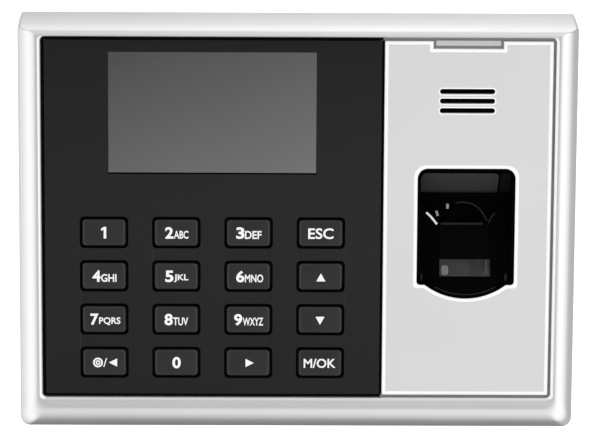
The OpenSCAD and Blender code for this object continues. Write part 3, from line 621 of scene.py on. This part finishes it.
def panel_gap_shade():
    """Strips round the front panels that paint the shade in the gaps: black at the dark panel, grey at the
    silver panel and the lens.
    """
    left, right = -OPEN_HALF_W + FIT, OPEN_HALF_W - FIT
    top, low = OPEN_TOP - FIT, OPEN_BOTTOM + FIT
    middle = (BLACK_RIGHT + SILVER_LEFT) / 2
    dark_left = -OPEN_HALF_W + PANEL_GAP - FIT
    dark_low = OPEN_BOTTOM + PANEL_GAP - FIT
    panel_top = PANEL_TOP + FIT
    gap_shade_strips("dark_panel_gap_shade", [
        (left, dark_left, low, top),
        (dark_left, middle, panel_top, top),
        (dark_left, middle, low, dark_low),
        (BLACK_RIGHT + FIT, SILVER_LEFT - FIT, dark_low, panel_top)], "black_gap_shade")
    silver_low = SILVER_BOTTOM - FIT
    lens_low = LENS_BOTTOM - FIT
    over_lens = PANEL_TOP + 0.25
    gap_shade_strips("silver_panel_gap_shade", [
        (middle, NOTCH_LEFT, panel_top, top),
        (NOTCH_RIGHT, right, panel_top, top),
        (NOTCH_LEFT, NOTCH_RIGHT, over_lens, top),
        (SILVER_RIGHT + FIT, right, silver_low, panel_top),
        (middle, right, low, silver_low),
        (NOTCH_LEFT, NOTCH_RIGHT, NOTCH_BOTTOM + FIT, lens_low),
        (NOTCH_LEFT + FIT, LENS_LEFT - FIT, lens_low, over_lens),
        (LENS_RIGHT + FIT, NOTCH_RIGHT - FIT, lens_low, over_lens)], "grey_gap_shade")


def display_gap_shade():
    """A black strip that paints the shade in the gap under the display window and at its right."""
    right = LCD_RIGHT + 0.23
    gap_shade_strips("display_gap_shade", [(LCD_LEFT - 0.08, right, LCD_BOTTOM - 0.48, LCD_BOTTOM - FIT),
                          (LCD_RIGHT + FIT, right, LCD_BOTTOM, LCD_TOP)], "black_gap_shade", LOW_SHADE_FRONT)


def key_outline(col, row, out, r):
    """A key's outline, moved outward."""
    cx, cz = key_centre(col, row)
    half_w, half_h = KEY_W / 2 + out, KEY_H / 2 + out
    return rounded(cx - half_w, cx + half_w, cz - half_h, cz + half_h, r)


def keypad_gap_shade():
    """A black ring round each key, low in the gap, that paints the shade there."""
    rings = []
    for col in range(len(KEYS[0])):
        for row in range(len(KEYS)):
            inner = key_outline(col, row, KEY_SHADE_IN, KEY_SHADE_IN_R)
            outer = key_outline(col, row, KEY_SHADE_OUT, KEY_SHADE_OUT_R)
            rings.append(loft([at_depth(outer, SHADE_BACK), at_depth(outer, LOW_SHADE_FRONT),
                               at_depth(inner, LOW_SHADE_FRONT), at_depth(inner, SHADE_BACK)], closed=True))
    piece("keypad_gap_shade", mesh_from("keypad_gap_shade", *join(*rings), degrees=40), "black_gap_shade")


def painted_highlight_rims():
    """Thin rounded rims on the silver panel, around its edge, the well and the three sound slots, in a
    brighter silver that paints their highlight.
    """
    edge = [(SILVER_RIGHT, PANEL_TOP), (NOTCH_RIGHT, PANEL_TOP), (NOTCH_RIGHT, NOTCH_BOTTOM),
            (NOTCH_LEFT, NOTCH_BOTTOM), (NOTCH_LEFT, PANEL_TOP), (SILVER_LEFT, PANEL_TOP),
            (SILVER_LEFT, SILVER_BOTTOM), (SILVER_RIGHT, SILVER_BOTTOM)]
    painted_highlight_rim("panel_rim", lambda out: offset(edge, out), PANEL_RIM)
    painted_highlight_rim("well_rim", lambda out: well_outline(-out), WELL_RIM)
    for i in (-1, 0, 1):
        z = SLOT_Z + i * SLOT_PITCH

        def slot_outline(out, z=z):
            return rounded(SLOT_X - SLOT_HALF_W - out, SLOT_X + SLOT_HALF_W + out, z - SLOT_HALF_H - out,
                           z + SLOT_HALF_H + out, SLOT_HALF_H - 0.02 + out)

        painted_highlight_rim("sound_slot_rim_%d" % (i + 2), slot_outline, SLOT_RIM)


# ---------------------------------------------------------------- keys

def key_centre(col, row):
    return KEY_X0 + col * KEY_DX, KEY_Z0 - row * KEY_DZ


def rounded_block(cx, cz, half_w, half_h, layers, r):
    """A block of rounded layers. layers rows are inset and depth."""
    rings = [at_depth(rounded(cx - half_w + i, cx + half_w - i, cz - half_h + i, cz + half_h - i,
                              max(0.1, r - 0.5 * i), 5), y) for i, y in layers]
    return loft(rings, cap_first=True, cap_last=True)


def key_cap(name, col, row):
    cx, cz = key_centre(col, row)
    cap = rounded_block(cx, cz, KEY_W / 2, KEY_H / 2, CAP_LAYERS, CAP_R)
    flange = rounded_block(cx, cz, FLANGE_HALF_W, FLANGE_HALF_H, FLANGE_LAYERS, FLANGE_R)
    stem = rounded_block(cx, cz, STEM_HALF, STEM_HALF, STEM_LAYERS, STEM_R)
    mesh = mesh_from(name + "_cap", *join(cap, flange, stem), degrees=50)
    piece(name + "_cap", mesh, "key_plastic", name, (name,))


# ---------------------------------------------------------------- key legends

def glyphs(text, x0, x1, z0, z1, bold):
    """A line of raised lettering in the built-in font, stretched to fill a box in millimetres."""
    curve = bpy.data.curves.new("line", "FONT")
    curve.body = text
    curve.offset = bold
    curve.resolution_u = 4
    curve.fill_mode = "FRONT"
    obj = bpy.data.objects.new("line", curve)
    bpy.context.scene.collection.objects.link(obj)
    bpy.context.view_layer.update()
    mesh = bpy.data.meshes.new_from_object(obj.evaluated_get(bpy.context.evaluated_depsgraph_get()))
    bpy.data.objects.remove(obj)
    xs = [v.co.x for v in mesh.vertices]
    zs = [v.co.y for v in mesh.vertices]
    sx, sz = (x1 - x0) / (max(xs) - min(xs)), (z1 - z0) / (max(zs) - min(zs))
    flat = [(x0 + (v.co.x - min(xs)) * sx, z0 + (v.co.y - min(zs)) * sz) for v in mesh.vertices]
    return raise_flat(flat, [tuple(p.vertices) for p in mesh.polygons])


def raise_flat(flat, faces, height=0.05):
    """Gives flat faces a thickness, standing on a key's face."""
    n = len(flat)
    verts = [(x, KEY_FACE_Y - height, z) for x, z in flat] + [(x, KEY_FACE_Y + 0.02, z) for x, z in flat]
    edges = dict.fromkeys(pair for face in faces for pair in zip(face, face[1:] + face[:1]))
    solid = list(faces) + [tuple(n + i for i in reversed(face)) for face in faces]
    solid += [(b, a, n + a, n + b) for a, b in edges if (b, a) not in edges]
    return verts, solid


def hoop(cx, cz, r0, r1, steps=28):
    """A flat ring."""
    outer, inner = arc(cx, cz, r1, 0, 360, steps)[:-1], arc(cx, cz, r0, 0, 360, steps)[:-1]
    faces = [(i, (i + 1) % steps, steps + (i + 1) % steps, steps + i) for i in range(steps)]
    return raise_flat(outer + inner, faces)


def shape(cx, cz, points):
    """A flat shape whose points are measured from a key's middle."""
    return raise_flat([(cx + x, cz + z) for x, z in points], [tuple(range(len(points)))])


DIGIT_BOLD, LETTER_BOLD, WORD_BOLD = 0.030, 0.022, 0.018
DIGIT_W, LETTER_H = 2.75, 2.7
LOW, HIGH = -1.95, 2.0
# Digit, letters, whole width, and shift to the right
DIGIT_KEYS = {
    "key_2": ("2", "ABC", 7.7, 0.15), "key_3": ("3", "DEF", 8.4, 0.1), "key_4": ("4", "GHI", 8.0, 0.1),
    "key_5": ("5", "JKL", 7.7, 0.15), "key_6": ("6", "MNO", 9.0, 0.4), "key_7": ("7", "PQRS", 10.0, 0.35),
    "key_8": ("8", "TUV", 7.9, 0.0), "key_9": ("9", "WXYZ", 9.7, 0.1)}
# Lettering, its left, right, lower and upper edges from the key's middle, and boldness
WORD_KEYS = {
    "key_0": ("0", -1.35, 1.45, LOW, HIGH, DIGIT_BOLD),
    "key_esc": ("ESC", -4.2, 4.2, LOW + 0.05, HIGH - 0.25, WORD_BOLD),
    "key_menu": ("M/OK", -5.45, 5.2, -1.65, 1.5, WORD_BOLD)}
# Outlines from the key's middle
SHAPE_KEYS = {
    "key_1": [(-0.1, LOW), (0.75, LOW), (0.75, HIGH), (0, HIGH), (-1.0, HIGH - 0.7), (-0.85, HIGH - 1.35),
              (-0.1, HIGH - 0.95)],
    "key_up": [(-1.4, -1.55), (1.6, -1.55), (0.1, 1.2)],
    "key_down": [(-1.6, 1.15), (-0.1, -1.6), (1.4, 1.15)],
    "key_right": [(-0.9, 1.4), (-0.9, -1.4), (1.85, 0)]}
RING_X, RING_R0, RING_R1, DOT_R0, DOT_R1 = -2.2, 1.1, 1.65, 0.35, 0.8
SLASH = [(-0.45, -1.5), (-0.1, -1.5), (0.85, 1.5), (0.5, 1.5)]
SMALL_ARROW = [(4.2, 1.4), (1.45, 0), (4.2, -1.4)]


def legend_parts(name, cx, cz):
    if name in DIGIT_KEYS:
        digit, letters, width, shift = DIGIT_KEYS[name]
        left = cx + shift - width / 2
        low = cz + LOW
        return [glyphs(digit, left, left + DIGIT_W, low, cz + HIGH, DIGIT_BOLD),
                glyphs(letters, left + DIGIT_W + 0.15, left + width, low, low + LETTER_H, LETTER_BOLD)]
    if name in WORD_KEYS:
        word, left, right, low, high, bold = WORD_KEYS[name]
        return [glyphs(word, cx + left, cx + right, cz + low, cz + high, bold)]
    if name in SHAPE_KEYS:
        return [shape(cx, cz, SHAPE_KEYS[name])]
    return [hoop(cx + RING_X, cz, RING_R0, RING_R1), hoop(cx + RING_X, cz, DOT_R0, DOT_R1),
            shape(cx, cz, SLASH), shape(cx, cz, SMALL_ARROW)]


def key_legend(name, col, row):
    cx, cz = key_centre(col, row)
    mesh = mesh_from(name + "_legend", *join(*legend_parts(name, cx, cz)), degrees=30)
    piece(name + "_legend", mesh, "legend_ink", name)


# ---------------------------------------------------------------- fingerprint well

def on_sensor(x, out, up):
    """A point in the tilted sensor face's own frame: across, out toward the finger, and up the face."""
    c, s = math.cos(SENSOR_TILT), math.sin(SENSOR_TILT)
    return (WELL_X + x, SENSOR_Y - out * c + up * s, SENSOR_Z + out * s + up * c)


def sensor_slab(name, x0, x1, z0, z1, out0, out1, r, mat):
    """A thin plate with a soft front edge, lying on the sensor face."""
    soft = min(0.12, (out1 - out0) / 2)
    rows = [(0, out0), (0, out1 - soft), (soft * 0.3, out1 - soft * 0.3), (soft, out1)]
    rings = []
    for i, out in rows:
        outline = rounded(x0 + i, x1 - i, z0 + i, z1 - i, max(0.05, r - i), 4)
        rings.append([on_sensor(x, out, z) for x, z in outline])
    mesh = mesh_from(name, *loft(rings, cap_first=True, cap_last=True), degrees=50)
    piece(name, mesh, mat)


def tube(path, radius, sides=8):
    """A round bar along a path of points."""
    rings = []
    for i, point in enumerate(path):
        before, after = Vector(path[max(0, i - 1)]), Vector(path[min(len(path) - 1, i + 1)])
        along = (after - before).normalized()
        side = along.cross(Vector((0, 1, 0.2))).normalized()
        up = side.cross(along)
        ring = []
        for k in range(sides):
            turn = 2 * math.pi * k / sides
            ring.append(tuple(Vector(point) + radius * (math.cos(turn) * side + math.sin(turn) * up)))
        rings.append(ring)
    return loft(rings, cap_first=True, cap_last=True)


def bar(name, path, radius, mat):
    """A round bar in the well. Its points are measured across from the opening's middle."""
    path = [(WELL_X + x, y, z) for x, y, z in path]
    piece(name, mesh_from(name, *tube(path, radius), degrees=60), mat)


def on_hood(x, up, out):
    """A point on the sloping hood: across, up the slope from its lower edge, and out into the well."""
    length = math.dist(HOOD_LOW, HOOD_HIGH)
    ay, az = ((b - a) / length for a, b in zip(HOOD_LOW, HOOD_HIGH))
    return (WELL_X + x, HOOD_LOW[0] + up * ay - out * az, HOOD_LOW[1] + up * az + out * ay)


def hood_plate(name, x0, x1, up0, up1, radii, mat):
    """A thin plate lying on the hood's slope. Its outline is mirrored, so radii begin at the top left."""
    outline = [(x0 + x1 - x, up) for x, up in rounded(x0, x1, up0, up1, radii, 6)]
    rings = [[on_hood(x, up, out) for x, up in outline] for out in (-0.1, 0.1, 0.16)]
    mesh = mesh_from(name, *loft(rings, cap_first=True, cap_last=True), degrees=40)
    piece(name, mesh, mat)


def sensor_window():
    """The light guide along the lower part of the sensor glass, with a faint painted glow, a glowing spot at
    its end that paints a glint, and a lighter line at its edge that paints a highlight.
    """
    w, low = GLASS_HALF_W, GLASS_BOTTOM
    # Name, left and right edge, lower and upper edge, back and front, corner radius, look
    for plate in (
            ("light_guide", -w + 0.05, w - 0.05, low + 0.1, low + 6.0, -0.12, 0.04, 0.2, "light_guide"),
            ("light_guide_end", -w + 0.7, -w + 3.0, low + 0.5, low + 3.9, 0.02, 0.08, 0.8, "painted_glint_spot"),
            ("light_guide_line", w - 1.7, w - 0.9, low + 0.9, low + 5.6, 0.02, 0.08, 0.2, "hood_painted_highlight")):
        sensor_slab(*plate)


def hood():
    """Plates on the hood that paint its light: a grey facet painted as the reflection on the slope under the
    top of the opening, a lighter strip painted as the highlight on its lower edge, and a dark plate painted
    as the shade beside it.
    """
    # Name, left and right edge, lower and upper edge up the slope, corner radii, look
    for plate in (
            ("hood_facet", -15.05, 10.9, 0.9, 13.6, (0.4, 2.0, 0.4, 0.4), "hood_painted_reflection"),
            ("hood_painted_highlight", -15.05, 10.6, 1.3, 2.1, 0.3, "hood_painted_highlight"),
            ("hood_side", 11.5, 15.0, 0.9, 13.6, 0.4, "hood_painted_shade")):
        hood_plate(*plate)


def well_bars():
    """Bars in the well whose colour and faint glow paint the highlights on its edges: fingertip arch, ledge,
    lower lip and ribs, a brightly glowing bar at the left and two dimmer glowing glints that paint lamp
    glints, and a bar at the right with a painted highlight.
    """
    arch = [(x, WALL_Y, z) for x, z in arc(ARCH_X, ARCH_Z, ARCH_R, 108, 24, 14)]
    bar("fingertip_arch", arch + [ARCH_END], 0.33, "painted_edge_highlight")
    bar("fingertip_ledge", LEDGE, 0.48, "painted_edge_highlight")
    bar("left_painted_glint_bar", LEFT_GLINT_PATH, 0.38, "bright_painted_glint")
    bar("right_painted_highlight_bar", RIGHT_HIGHLIGHT_PATH, 0.35, "painted_edge_highlight")
    bar("arch_glint_1", GLINT_1, 0.42, "dim_painted_glint")
    bar("arch_glint_2", GLINT_2, 0.45, "dim_painted_glint")
    lip = [(x - WELL_X, WELL_LIP_Y, z) for x, z in well_outline(1.25) if z < WELL_SHOULDER + 0.6]
    bar("well_lip", lip[2:-2], 0.22, "painted_edge_highlight")
    for name, x in (("left_rib", LEFT_RIB_X), ("right_rib", RIGHT_RIB_X)):
        bar(name, [(x, y, z) for y, z in RIB], 0.4, "painted_edge_highlight")


# ---------------------------------------------------------------- rear label

LABEL_X, LABEL_Z, LABEL_HALF_W, LABEL_HALF_H = -25, 54.5, 24, 6.2


def rear_label():
    """A blank rating plate on the rear cover."""
    layers = [(0, COVER_BACK + 0.01), (0, COVER_BACK + 0.12), (0.1, COVER_BACK + 0.2)]
    plate = rounded_block(LABEL_X, LABEL_Z, LABEL_HALF_W, LABEL_HALF_H, layers, 1.0)
    piece("rear_label", mesh_from("rear_label", *plate, degrees=50), "white_plastic")


# ---------------------------------------------------------------- build

# CAD nodes that get rounded edges: how wide, and in how many steps
FINE_NODES = [
    ("key_panel", 0.2, 2), ("reader_panel", 0.3, 3), ("display_window", 0.15, 2), ("indicator_lens", 0.2, 2),
    ("finger_guide", 0.25, 3), ("rear_cover", 0.35, 2), ("wall_bracket", 0.2, 2), ("network_jack", 0.2, 2),
    ("usb_port", 0.06, 1), ("power_jack", 0.2, 2), ("terminal_block", 0.12, 1), ("relay", 0.4, 2),
    ("cell_holder", 0.2, 1)]

silver_frame()
panel_gap_shade()
display_gap_shade()
keypad_gap_shade()
painted_highlight_rims()
for row, names in enumerate(KEYS):
    for col, name in enumerate(names):
        key_cap(name, col, row)
        key_legend(name, col, row)
sensor_window()
hood()
well_bars()
rear_label()
for node, width, segments in FINE_NODES:
    refine(node, width, segments)
for node, obj in NODES.items():
    obj.data.materials.clear()
    obj.data.materials.append(MATS[SLOT_OF[node]])


# ---------------------------------------------------------------- camera, light, floor

CAMERA_AT = (-14.43, -1279.0, 265.99)
YAW, PITCH, ROLL = (math.radians(a) for a in (0.668, 11.810, 0.334))
LENS_MM, FILM_MM = 232.8946, 36
# Studio brightness by angle in degrees: up and down, where 0 is the front, 90 is up and 180 is behind
RISE_LIGHT = [
    (-180, 0.55), (-150, 0.10), (-112, 0.06), (-92, 0.10), (-84, 0.20), (-76, 0.34), (-62, 0.60),
    (-48, 0.84), (-32, 0.86), (-24, 0.64), (-19, 0.42), (-15.2, 0.34), (-11.5, 0.88), (-8.4, 0.14),
    (-4, 0.28), (10, 0.64), (50, 0.74), (78, 0.76), (100, 0.82), (125, 0.94), (140, 1.10), (150, 1.36),
    (157, 0.96), (165, 0.68), (180, 0.55)]
# Studio brightness around the sides, where 0 is the front and 90 is the right
TURN_LIGHT = [
    (-180, 0.5), (-150, 0.65), (-126, 0.85), (-94, 1.02), (-78, 1.18), (-60, 1.30), (-45, 1.34),
    (-27, 1.15), (-12, 0.75), (0, 0.56), (10, 0.95), (24, 1.42), (41, 1.42), (61, 1.20), (76, 0.88),
    (92, 0.50), (120, 0.45), (180, 0.5)]
# The tables are stored as shares of this brightness
RAMP_TOP = 2.0
# Sideways part of a direction, from where the first table alone counts to where the second alone counts
BLEND_FROM, BLEND_TO = 0.06, 0.32
# The first table is dimmer toward the left and brighter toward the right
DIM_LEFT, BRIGHT_RIGHT = (-0.06, 0.88), (0.04, 1.1)
FLOOR_HALF, FLOOR_Z, FLOOR_GLOW = 12.0, -1.5, 0.62


def add_camera():
    forward = Vector((math.sin(YAW) * math.cos(PITCH), math.cos(YAW) * math.cos(PITCH), -math.sin(PITCH)))
    right = Vector((math.cos(YAW), -math.sin(YAW), 0))
    up = right.cross(forward)
    across = math.cos(ROLL) * right + math.sin(ROLL) * up
    above = -math.sin(ROLL) * right + math.cos(ROLL) * up
    data = bpy.data.cameras.new("camera")
    data.lens = LENS_MM
    data.sensor_width = FILM_MM
    data.clip_start = 0.01
    data.clip_end = 100
    cam = bpy.data.objects.new("camera", data)
    cam.matrix_world = Matrix((across, above, -forward)).transposed().to_4x4()
    cam.matrix_world.translation = Vector(CAMERA_AT) * MM
    bpy.context.scene.collection.objects.link(cam)
    bpy.context.scene.camera = cam


def add_world():
    """A soft studio whose brightness depends on direction, behind a plain white background."""
    world = bpy.data.worlds.new("studio")
    bpy.context.scene.world = world
    world.use_nodes = True
    tree = world.node_tree
    link = tree.links.new

    def maths(operation, a, b=None):
        node = tree.nodes.new("ShaderNodeMath")
        node.operation = operation
        for socket, value in zip(node.inputs, (a, b)):
            if isinstance(value, (int, float)):
                socket.default_value = value
            elif value is not None:
                link(value, socket)
        return node.outputs[0]

    def by_angle(up, along, table):
        turn = remap(tree, maths("ARCTAN2", up, along), -math.pi, math.pi, 0, 1)
        ramp = tree.nodes.new("ShaderNodeValToRGB")
        while len(ramp.color_ramp.elements) < len(table):
            ramp.color_ramp.elements.new(0.5)
        for element, (degrees, level) in zip(ramp.color_ramp.elements, table):
            element.position = (degrees + 180) / 360
            element.color = (level / RAMP_TOP,) * 3 + (1,)
        link(turn, ramp.inputs["Fac"])
        return ramp.outputs["Color"]

    coords = tree.nodes.new("ShaderNodeTexCoord")
    split = tree.nodes.new("ShaderNodeSeparateXYZ")
    link(coords.outputs["Generated"], split.inputs[0])
    x, y, z = split.outputs
    front = maths("MULTIPLY", y, -1)
    mix = tree.nodes.new("ShaderNodeMix")
    mix.data_type = "RGBA"
    link(remap(tree, maths("ABSOLUTE", x), BLEND_FROM, BLEND_TO, 0, 1), mix.inputs["Factor"])
    tilt = tree.nodes.new("ShaderNodeVectorMath")
    tilt.operation = "SCALE"
    link(by_angle(z, front, RISE_LIGHT), tilt.inputs[0])
    (left, dim), (right, bright) = DIM_LEFT, BRIGHT_RIGHT
    link(remap(tree, x, left, right, dim, bright), tilt.inputs["Scale"])
    link(tilt.outputs[0], mix.inputs["A"])
    link(by_angle(x, front, TURN_LIGHT), mix.inputs["B"])
    lit = tree.nodes.new("ShaderNodeBackground")
    lit.inputs["Strength"].default_value = RAMP_TOP
    link(mix.outputs["Result"], lit.inputs["Color"])
    seen = tree.nodes["Background"]
    seen.inputs["Color"].default_value = (1, 1, 1, 1)
    path = tree.nodes.new("ShaderNodeLightPath")
    choose = tree.nodes.new("ShaderNodeMixShader")
    link(path.outputs["Is Camera Ray"], choose.inputs["Fac"])
    link(lit.outputs[0], choose.inputs[1])
    link(seen.outputs[0], choose.inputs[2])
    link(choose.outputs[0], tree.nodes["World Output"].inputs["Surface"])


def add_floor():
    """A plain pale floor well below the terminal. It glows a little so that it stays even."""
    mesh = bpy.data.meshes.new("floor")
    half = FLOOR_HALF
    corners = [(-half, -half), (half, -half), (half, half), (-half, half)]
    mesh.from_pydata([(x, y, FLOOR_Z) for x, y in corners], [], [(0, 1, 2, 3)])
    obj = bpy.data.objects.new("floor", mesh)
    bpy.context.scene.collection.objects.link(obj)
    paint = material("floor_paint", (0.85, 0.85, 0.85), 0.7, grain=40, tint=0.01, cloud=3)
    shader = paint.node_tree.nodes["Principled BSDF"]
    shader.inputs["Emission Color"].default_value = (1, 1, 1, 1)
    shader.inputs["Emission Strength"].default_value = FLOOR_GLOW
    mesh.materials.append(paint)
    obj.visible_glossy = False
    obj.visible_diffuse = False
    obj.visible_shadow = False


add_camera()
add_world()
add_floor()
bpy.context.scene.view_settings.view_transform = "Standard"
